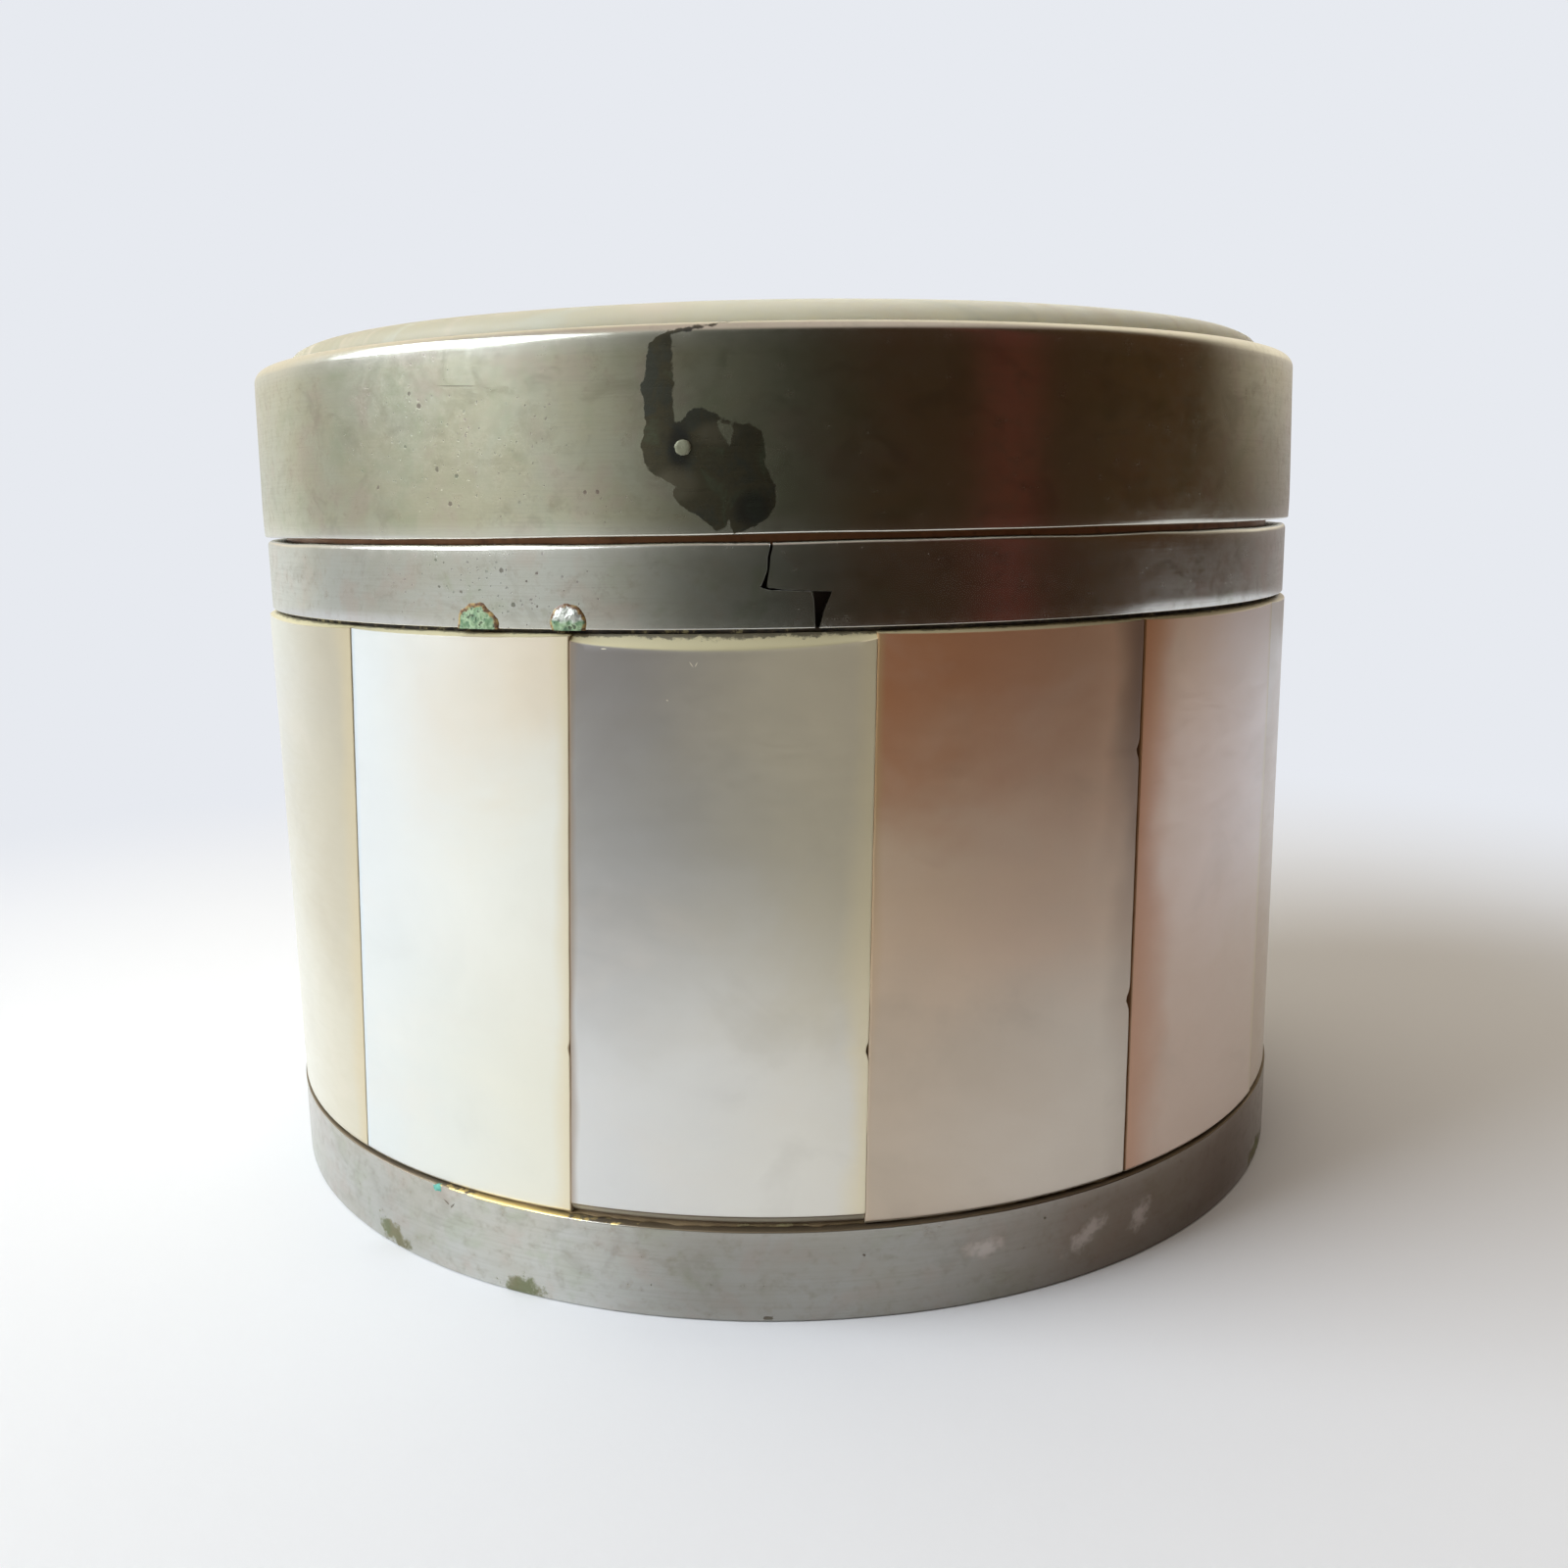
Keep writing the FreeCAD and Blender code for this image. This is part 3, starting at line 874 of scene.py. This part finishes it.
COLLAR_MARKS = {
    "pitting": ((-28, 25.5, 5.2, 2.2), (-22, 24.6, 3.0, 1.2), (118, 25.3, 6.0, 2.0),
                (-150, 25, 5.0, 2.0)),
    "pit": ((-23.6, 25.75, 0.14, 0.15), (-22.6, 24.62, 0.13, 0.10), (-20.3, 24.60, 0.08, 0.08),
            (-26.0, 25.10, 0.07, 0.06), (-29.7, 26.0, 0.07, 0.07), (-21.2, 25.4, 0.06, 0.07)),
}
LID_MARKS = {
    "pitting": ((-34, 30.6, 4.0, 2.4), (-26, 29.6, 4.5, 2.4), (-13, 27.9, 1.6, 0.8),
                (140, 30.0, 8.0, 3.0), (-128, 29.0, 6.0, 3.0)),
    "pit": ((-31.4, 31.1, 0.13, 0.12), (-32.5, 31.5, 0.10, 0.09), (-29.7, 29.05, 0.12, 0.13),
            (-27.6, 28.8, 0.12, 0.11), (-28.4, 27.9, 0.11, 0.10), (-15.4, 28.2, 0.11, 0.12),
            (-14.3, 28.2, 0.09, 0.09), (-37, 28.5, 0.10, 0.09)),
    "scratch": ((-27.3, 31.65, 1.0, 0.02, 3), (-8.0, 32.55, 0.28, 0.02, 8)),
    "soot": ((-1.6, 27.6, 0.8, 0.8), (-4.0, 32.8, 2.2, 0.6), (-7.4, 29.5, 0.5, 1.0)),
    "faded": ((-7.7, 28.4, 0.9, 0.7), (-4.4, 29.9, 0.9, 0.5)),
}
LID_STAIN = (
    (-3.05, 32.88), (-3.05, 30.25), (-2.8, 30.3), (-2.6, 30.6), (-2.2, 30.7), (-1.7, 30.5),
    (-1.2, 30.2), (-0.7, 30.2), (-0.3, 29.9), (-0.2, 29.5), (-0.25, 28.95), (0.08, 28.3),
    (0.1, 27.75), (-0.1, 27.4), (-0.55, 27.05), (-1.25, 26.8), (-1.4, 27.25), (-1.5, 27.05),
    (-1.8, 26.95), (-2.35, 27.4), (-3.05, 27.8), (-3.2, 28.1), (-3.0, 28.3), (-3.75, 28.7),
    (-4.0, 29.0), (-4.15, 29.6), (-3.97, 30.2), (-4.0, 31.1), (-4.12, 31.4), (-3.95, 31.6),
    (-3.9, 32.1), (-3.8, 32.6), (-3.5, 32.88), (-2.9, 33.07), (-1.2, 33.26),
)
LID_STAIN_GAP = ((-1.7, 30.25), (-1.2, 30.15), (-1.3, 29.5), (-1.6, 29.9))
COLLAR_JOINT = (
    (-0.10, 26.9), (-0.12, 26.4), (-0.20, 26.1), (-0.22, 25.7), (-0.33, 25.4), (-0.45, 25.16),
    (-0.20, 25.07), (0.32, 25.05), (1.23, 25.0), (1.28, 23.6), (1.33, 23.6), (1.56, 24.4),
    (1.82, 25.0), (1.23, 25.02), (0.35, 25.075), (-0.24, 25.16), (-0.20, 25.45), (-0.13, 25.8),
    (-0.11, 26.1), (-0.03, 26.4), (-0.01, 26.9),
)


FOOT_SQUEEZE = 0.2      # how much the foot ring is pressed in at its two sides
LID_TAPER = 0.13        # how much smaller the lid's radius is at its top than at its hem
HEM_DROOP = 0.09        # how much lower the lid's hem hangs at the far left


def make_foot_ring():
    outline = rounded_outline([
        (TUBE_RADIUS, 0.0, 0, 0.6), (FOOT_RADIUS, 0.0, 0.10, 0.4),
        (FOOT_RADIUS, FOOT_TOP, 0.06, 0.3), (TUBE_RADIUS, FOOT_TOP, 0, 1.0)])

    def wobble(angle, radius, height):
        place = on_wall(angle, radius, height)
        dent = 0.025 * soft_noise(place, 9.0, 3.1) + 0.008 * soft_noise(place, 1.6, 5.2) - 0.02
        dent -= FOOT_SQUEEZE * math.sin(math.radians(angle)) ** 2
        crust = 0.10 * max(0.0, depth_in_spots(FOOT_MARKS["crust"], angle, height, radius))
        rim = 0.03 * soft_noise(place, 3.0, 8.8) if height > FOOT_TOP - 0.4 else 0.0
        outer = radius > TUBE_RADIUS + 0.5
        return (dent + crust if outer else 0.0, rim)

    piece = lathe("foot_ring", outline, columns(-37, -32, 0.25, 0.6), wobble)
    look = nickel_silver("foot_metal", FOOT_RADIUS, SILVER, SILVER_WARM, FOOT_MARKS, grimy_and_shaded=True)
    piece.data.materials.append(look)
    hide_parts("base_ring")
    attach(piece, "box")


def make_collar():
    outline = rounded_outline([
        (TUBE_RADIUS, COLLAR_BOTTOM, 0, 0.6), (COLLAR_RADIUS, COLLAR_BOTTOM, 0.04, 0.4),
        (COLLAR_RADIUS, COLLAR_TOP, 0.20, 0.3), (TUBE_RADIUS, COLLAR_TOP, 0, 1.0)])

    def wobble(angle, radius, height):
        place = on_wall(angle, radius, height)
        dent = 0.02 * soft_noise(place, 7.0, 2.2) + 0.005 * soft_noise(place, 1.4, 4.0) - 0.02
        rim = 0.04 * soft_noise(place, 3.5, 7.7) - 0.02 if height > COLLAR_TOP - 0.4 else 0.0
        return (dent if radius > TUBE_RADIUS + 0.4 else 0.0, rim)

    piece = lathe("collar", outline, columns(-2, 6, 0.25, 0.6), wobble)
    cut_away(piece, COLLAR_JOINT, "joint_cutter")
    look = nickel_silver("collar_metal", COLLAR_RADIUS, SILVER, SILVER_WARM, COLLAR_MARKS)
    piece.data.materials.append(look)
    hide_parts("collar_band")
    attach(piece, "box")


def make_lid_band():
    outline = rounded_outline([
        (PLATE_RADIUS, LID_BOTTOM, 0.10, 0.3), (LID_RADIUS, LID_BOTTOM, 0.06, 0.13),
        (LID_RADIUS, LID_TOP, 0.45, 0.2), (LIP_INNER, LID_TOP, 0.10, 0.5),
        (LIP_INNER, PLATE_TOP, 0, 0.5), (PLATE_RADIUS, PLATE_TOP, 0, 1.0)])

    def wobble(angle, radius, height):
        place = on_wall(angle, radius, height)
        rise = height - LID_BOTTOM
        dent = drop = 0.0
        if radius > PLATE_RADIUS + 0.2:
            near_hem = max(0.0, 1 - rise / (1.1 + 0.3 * soft_noise(place, 5.0)))
            dent = 0.025 * soft_noise(place, 8.0, 1.7) + 0.007 * soft_noise(place, 1.8, 4.4)
            dent -= 0.025 + LID_TAPER * rise / (LID_TOP - LID_BOTTOM) + 0.04 * near_hem ** 2
        if rise < 0.5:
            leftward = max(0.0, math.sin(math.radians(-angle)))
            drop = 0.03 * soft_noise(place, 4.0, 6.1) - HEM_DROOP * leftward
        if height > LID_TOP - 0.3 and radius < LID_RADIUS - 0.5:
            drop = 0.05 * soft_noise(place, 2.4, 9.3) - 0.02
        return (dent, drop)

    def paint(angle, radius, height):
        if abs(angle) > 15 or radius < PLATE_RADIUS:
            return {}
        across = math.radians(angle) * LID_RADIUS
        return {"stain": max(outside_by(LID_STAIN, across, height),
                             -outside_by(LID_STAIN_GAP, across, height))}

    piece = lathe("lid_side", outline, columns(-13, 2.6, 0.13, 0.6), wobble, paint)
    look = nickel_silver("lid_metal", LID_RADIUS, LID_SILVER, LID_SILVER_WARM, LID_MARKS)
    piece.data.materials.append(look)
    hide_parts("lid_band")
    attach(piece, "lid")


# ---------------------------------------------------------------- the slats

def slat_edges(node):
    """A slat's (left, right) edge angles at its foot and at its head, read from its CAD mesh."""
    edges = []
    for level in (SLAT_BOTTOM, SLAT_TOP):
        angles = []
        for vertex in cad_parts[node].data.vertices:
            x, y, z = vertex.co / METRE
            if abs(z - level) < 0.01:
                angles.append(math.degrees(math.atan2(x, -y)))
        if max(angles) - min(angles) > 180:
            angles = [angle % 360 for angle in angles]
        edges.append((min(angles), max(angles)))
    return edges


def notch(chips, side, height):
    """How far the chips on one side of a slat bite into its edge at a height, in millimetres."""
    return sum(depth * math.exp(-((height - place) / spread) ** 2)
               for chip_side, place, spread, depth in chips if chip_side == side)


def slat_heights(bevel_top, bevel_bottom):
    """The heights of a slat's rows below its head, close together on its bevelled foot."""
    rows, margin = 120, 0.06
    lowest = SLAT_BOTTOM + bevel_bottom + margin
    highest = SLAT_TOP - bevel_top - margin
    foot = [SLAT_BOTTOM + bevel_bottom * step / 8 for step in range(9)]
    return foot + [lowest + (highest - lowest) * row / rows for row in range(rows + 1)]


def slat_shares(width, softness):
    """Where a slat's columns stand across it, from 0 to 1, close together at its two edges."""
    ends = [0.0, 0.3 * softness, softness, 0.08, 0.18, 0.35, 0.6]
    columns_between = 22
    offsets = ends + [ends[-1] + (width - 2 * ends[-1]) * column / columns_between
                      for column in range(1, columns_between)]
    return [offset / width for offset in offsets + [width - end for end in reversed(ends)]]


def make_slat(node, look, proud, chips):
    """One curved slat: a closed block with bevelled ends, softened edges and a few chips."""
    (left_low, right_low), (left_high, right_high) = slat_edges(node)
    front = SLAT_FRONT + proud
    millimetres = math.radians(1) * front
    width = (right_low - left_low) * millimetres
    softness, foot_slope, head_inset = 0.03, 0.7, 0.28
    bevel_top, bevel_bottom = look.get("bevel", 0.16), look.get("foot_bevel", 0.08)
    heights = slat_heights(bevel_top, bevel_bottom)
    plain_rows = len(heights)
    row_heads = [0.0] * plain_rows + [0.0, 0.25, 0.5, 0.75, 1.0]
    shares = slat_shares(width, softness)
    back_shares = [1.0, 0.75, 0.5, 0.25, 0.0]
    loop = len(shares) + len(back_shares)
    close_left, close_right = look.get("closed_by", (0.018, 0.018))
    points, uvs, heads, feet = [], [], [], []
    for row, head in enumerate(row_heads):
        for column, share in enumerate(shares + back_shares):
            depth = bevel_top * (0.35 + 0.65 * math.sin(math.pi * share) ** 0.6)
            height = heights[row] if row < plain_rows else SLAT_TOP - depth * (1 - head)
            lift = (height - SLAT_BOTTOM) / (SLAT_TOP - SLAT_BOTTOM)
            foot = max(0.0, (SLAT_BOTTOM + bevel_bottom - height) / bevel_bottom)
            waver = 0.012 * noise.noise(Vector((height / 1.3, left_low, 0.0)))
            left = left_low + (left_high - left_low) * lift
            left += (waver + notch(chips, "left", height) - close_left) / millimetres
            right = right_low + (right_high - right_low) * lift
            right += (waver - notch(chips, "right", height) + close_right) / millimetres
            angle = left + (right - left) * share
            radius = SLAT_BACK
            if column < len(shares):
                gap = min(share, 1 - share) * width
                soft = softness - math.sqrt(softness ** 2 - max(0.0, softness - gap) ** 2)
                dent = 0.010 * soft_noise(on_wall(angle, front, height), 5.0, proud * 90 + 2.0)
                inset = foot_slope * bevel_bottom * foot + head_inset * head + soft
                radius = front - inset + dent
            points.append(on_wall(angle, radius, height))
            uvs.append((share, lift))
            heads.append(head)
            feet.append(foot)
    top = len(points) - loop
    faces = [face[::-1] for face in grid_faces(len(row_heads), loop, closed_rows=False)]
    faces.append(tuple(reversed(range(loop))))
    faces.append(tuple(range(top, top + loop)))
    piece = build_mesh("pearl_" + node[-7:], points, faces, {"head": heads, "foot": feet}, uvs)
    piece.data.materials.append(nacre("nacre_" + node[-2:], look, width))
    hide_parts(node)
    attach(piece, "box")


CREAM = (228, 216, 180)
THIN = (CREAM, 0.12)
# The looks of the five slats at the front, by number: the colours at a slat's head, middle and foot
# as (left, right) pairs, its (tone, spread) edges, and its own marks. The rows also hold painted
# light: slat 14's dark head and left side are painted shade and a painted reflection of the dark
# room, and slat 02's darker foot is a painted reflection of the shadowed floor.
FRONT_LOOKS = {
    "12": {
        "rows": (((214, 212, 199), (191, 181, 157)),
                 ((216, 210, 188), (194, 184, 158)),
                 ((216, 214, 199), (206, 199, 176))),
        "left": THIN, "right": ((208, 192, 154), 1.0), "glue": (0.3, 0.1)},
    "13": {
        "rows": (((233, 236, 234), (240, 226, 203)),
                 ((229, 231, 228), (247, 245, 233)),
                 ((219, 223, 220), (238, 235, 218))),
        "left": ((214, 226, 234), 0.3), "right": ((234, 220, 184), 0.7),
        "glue": (0.2, 0.6), "closed_by": (0.018, 0.024), "haze": 0.04},
    "14": {
        "rows": (((146, 140, 136), (234, 222, 194)),
                 ((168, 165, 161), (224, 214, 188)),
                 ((222, 221, 218), (246, 242, 230))),
        "left": ((158, 138, 116), 0.30), "right": ((250, 236, 196), 1.0),
        "bevel": 0.58, "foot_bevel": 0.38, "dirt": 0.8, "glue": (0.5, 0.0),
        "closed_by": (0.024, 0.028),
        "scratches": ((-14.3, 23.25, 0.12, 0.025), (-6.9, 22.75, 0.13, 0.018, 55),
                      (-6.5, 22.75, 0.11, 0.018, -60), (-9.0, 21.6, 0.05, 0.02, 20))},
    "01": {
        "rows": (((212, 148, 106), (226, 184, 152)),
                 ((236, 208, 178), (252, 226, 202)),
                 ((212, 194, 172), (238, 228, 214))),
        "left": ((216, 182, 132), 0.35), "right": ((94, 68, 48), 1.5),
        "edge_at_foot": 0.15, "closed_by": (0.028, 0.0), "glue": (0.0, 0.7)},
    "02": {
        "rows": (((240, 204, 172), (250, 236, 230)),
                 ((244, 220, 204), (248, 234, 229)),
                 ((232, 208, 190), (244, 226, 214))),
        "left": ((200, 122, 56), 2.1), "right": (CREAM, 0.5), "edge_at_foot": 0.7,
        "closed_by": (0.0, 0.018), "glue": (0.8, 0.3)},
}
# The two tones of the other slats, in turn.
BACK_TONES = (
    ((240, 240, 236), (226, 216, 200)), ((214, 210, 200), (232, 228, 222)),
    ((224, 206, 190), (238, 232, 226)), ((232, 230, 216), (206, 196, 182)),
)
# The chips in the slats' edges, by number, as (side, height, spread, depth).
CHIPS = {
    "01": [("right", 19.14, 0.22, 0.14), ("right", 10.08, 0.25, 0.16)],
    "14": [("right", 9.68, 0.22, 0.10)],
    "13": [("right", 9.5, 0.18, 0.06)],
    "06": [("left", 6.4, 0.30, 0.15)],
    "09": [("right", 20.3, 0.25, 0.12)],
}


def make_slats():
    for index, node in enumerate(SLAT_NODES):
        light, deep = BACK_TONES[index % len(BACK_TONES)]
        rows = ((deep, light), (light, light), (light, deep))
        look = {"rows": rows, "left": THIN, "right": (CREAM, 0.5 + 0.15 * (index % 4))}
        proud = -0.02 + 0.02 * math.sin(index * 2.4)
        make_slat(node, FRONT_LOOKS.get(node[-2:], look), proud, CHIPS.get(node[-2:], []))


# ---------------------------------------------------------------- the other pieces

def make_slat_cement():
    """The bed of the slats, which fills the gaps at their two ends unevenly."""
    crest = TUBE_RADIUS + 0.52
    behind = SLAT_BACK - 0.03
    squeezed = SLAT_FRONT - 0.16
    outline = [(TUBE_RADIUS, FOOT_TOP), (squeezed, FOOT_TOP), (squeezed, SLAT_BOTTOM - 0.02),
               (behind, SLAT_BOTTOM + 0.1), (behind, 0.5 * (SLAT_BOTTOM + SLAT_TOP)),
               (behind, SLAT_TOP - 0.1), (crest, SLAT_TOP + 0.02), (crest, SLAT_TOP + 0.14),
               (crest, COLLAR_BOTTOM), (TUBE_RADIUS, COLLAR_BOTTOM)]

    def wobble(angle, radius, height):
        if radius < crest - 0.01:
            return (0.0, 0.0)
        place = on_wall(angle, radius, height)
        return (0.10 * soft_noise(place, 1.3, 2.0) + 0.09 * soft_noise(place, 0.4, 5.0), 0.0)

    piece = lathe("slat_bed", [(radius, height, 0.0) for radius, height in outline],
                  columns(-60, 60, 0.25, 0.5), wobble)
    piece.data.materials.append(old_cement())
    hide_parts("slat_cement")
    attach(piece, "box")


def make_tube():
    inner = TUBE_RADIUS - TUBE_WALL
    bottom, top = low("inner_tube"), high("inner_tube")
    outline = rounded_outline([(inner, bottom, 0, 1.0), (TUBE_RADIUS, bottom, 0, 1.0),
                               (TUBE_RADIUS, top, 0.2, 0.3), (inner, top, 0.2, 1.0)])

    def wobble(angle, radius, height):
        place = on_wall(angle, radius, height)
        rim = 0.03 * soft_noise(place, 4.0, 2.0) - 0.02 if height > top - 0.3 else 0.0
        return (-0.012 * abs(soft_noise(place, 5.0, 6.0)) if radius > inner + 0.3 else 0.0, rim)

    piece = lathe("tube", outline, columns(-1, 0, 0.5, 0.5), wobble)
    piece.data.materials.append(old_brass("tube_brass", COLLAR_TOP - 0.1))
    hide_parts("inner_tube")
    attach(piece, "box")


def make_plate(name, node, body, look):
    """A round sheet-metal plate, whose faces are a little uneven."""
    radius, bottom, top = reach(node), low(node), high(node)
    rings = 40
    under = [(radius * step / rings, bottom, 0.0) for step in range(1, rings + 1)]
    over = [(radius * (1 - step / rings), top, 0.0) for step in range(rings)]

    def wobble(angle, distance, height):
        if distance > radius - 0.1 or height < 0.01:
            return (0.0, 0.0)
        place = on_wall(angle, distance, height)
        inward = -1.0 if height > (bottom + top) / 2 else 1.0
        return (0.0, inward * (0.02 + 0.02 * soft_noise(place, 6.0, 1.0)))

    piece = lathe(name, under + over, columns(-1, 0, 1, 2), wobble, closed=False)
    piece.data.materials.append(look)
    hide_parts(node)
    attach(piece, body)


def make_lid_shell():
    """The lid's disc: an upright rim, a soft shoulder, and a dome flattest in the middle."""
    bottom, edge, power = low("lid_shell"), SHELL_TOP - SHELL_RISE, 2.5
    floor_rings, rim_rows, shoulder_rows, dome_rings = 20, 6, 8, 60
    shoulder, shoulder_height = 1.0, 0.66
    shoulder_bottom = edge - shoulder_height
    dome_edge = SHELL_RADIUS - shoulder

    def dome(radius):
        return edge + SHELL_RISE * (1 - (radius / SHELL_RADIUS) ** power)

    outline = [(SHELL_RADIUS * step / floor_rings, bottom, 0.0)
               for step in range(1, floor_rings + 1)]
    outline += [(SHELL_RADIUS, bottom + (shoulder_bottom - bottom) * row / rim_rows, 0.0)
                for row in range(1, rim_rows + 1)]
    for step in range(1, shoulder_rows + 1):
        turn = math.pi / 2 * step / shoulder_rows
        rise = (dome(dome_edge) - shoulder_bottom) * math.sin(turn)
        outline.append((dome_edge + shoulder * math.cos(turn), shoulder_bottom + rise, 0.0))
    for ring in range(1, dome_rings):
        radius = dome_edge * (1 - ring / dome_rings)
        outline.append((radius, dome(radius), 0.0))

    def wobble(angle, radius, height):
        if height < edge:
            return (0.0, 0.0)
        return (0.0, -0.015 - 0.015 * soft_noise(on_wall(angle, radius, 0), 9.0, 4.0))

    piece = lathe("lid_pearl", outline, columns(-1, 0, 1, 1), wobble, closed=False)
    piece.data.materials.append(lid_nacre())
    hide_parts("lid_shell")
    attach(piece, "lid")


def make_stud(name, place, half_size, radius, proud, floor_height, seed, uneven=0.08):
    """A low uneven dome at an (angle, height) on the wall, cut off flat below a height."""
    angle, height = place
    half_width, half_height = half_size
    rings, spokes, root = 9, 36, 0.25
    points = [on_wall(angle, radius + proud, height)]
    bends = [0.0]
    for ring in range(1, rings + 1):
        out = ring / rings
        for spoke in range(spokes):
            turn = 2 * math.pi * spoke / spokes
            across, up = math.cos(turn), math.sin(turn)
            ragged = 1 + uneven * noise.noise(Vector((across * 2.2, up * 2.2, seed)))
            x = half_width * out * ragged * across
            z = height + half_height * out * ragged * up
            lump = 0.35 * proud * noise.noise(Vector((x * 3.5, z * 3.5, seed)))
            rise = (proud + lump) * math.sqrt(max(0.0, 1 - out ** 3))
            points.append(on_wall(angle + math.degrees(x / radius), radius + rise - 0.02,
                                  max(z, floor_height)))
            bends.append(out)
    for spoke in range(spokes):
        edge = points[1 + (rings - 1) * spokes + spoke]
        inward = Vector((edge.x, edge.y, 0)).normalized() * root
        points.append(edge - inward)
        bends.append(1.0)
    faces = [(0, 1 + spoke, 1 + (spoke + 1) % spokes) for spoke in range(spokes)]
    faces += grid_faces(rings + 1, spokes, closed_rows=False, start=1)
    faces.append(tuple(reversed(range(1 + rings * spokes, 1 + (rings + 1) * spokes))))
    return build_mesh(name, points, faces, {"bend": bends}, sharp=70)


def make_pins():
    bottom = COLLAR_BOTTOM - 0.02
    left = make_stud("collar_pin_left", (-26.4, bottom + 0.05), (0.87, 0.82), COLLAR_RADIUS, 0.09,
                     bottom, 3.0, uneven=0.16)
    left.data.materials.append(corroded_pin("pin_green", 40.0))
    right = make_stud("collar_pin_right", (-17.5, bottom + 0.24), (0.65, 0.64), COLLAR_RADIUS,
                      0.10, bottom, 8.0)
    right.data.materials.append(corroded_pin("pin_half_green", COLLAR_BOTTOM + 0.25))
    for piece in (left, right):
        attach(piece, "box")
    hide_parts("collar_pins")
    place = middle("lid_pin")
    angle = math.degrees(math.atan2(place.x, -place.y))
    stud = make_stud("lid_pin_head", (angle, place.z), (0.26, 0.24), LID_RADIUS, 0.04,
                     LID_BOTTOM, 1.0)
    stud.data.materials.append(bright_pin())
    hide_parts("lid_pin")
    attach(stud, "lid")


def dress_hidden_cement():
    """The cement under the lid's disc is out of sight, so it keeps its CAD shape."""
    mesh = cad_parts["lid_cement"].data
    mesh.materials.clear()
    mesh.materials.append(bpy.data.materials["cement"])


make_stage()
make_foot_ring()
make_collar()
make_lid_band()
make_slats()
make_slat_cement()
make_tube()
make_plate("floor_plate", "base_plate", "box", old_brass("floor_brass"))
make_plate("lid_ceiling", "lid_plate", "lid", old_brass("lid_brass"))
make_lid_shell()
make_pins()
dress_hidden_cement()
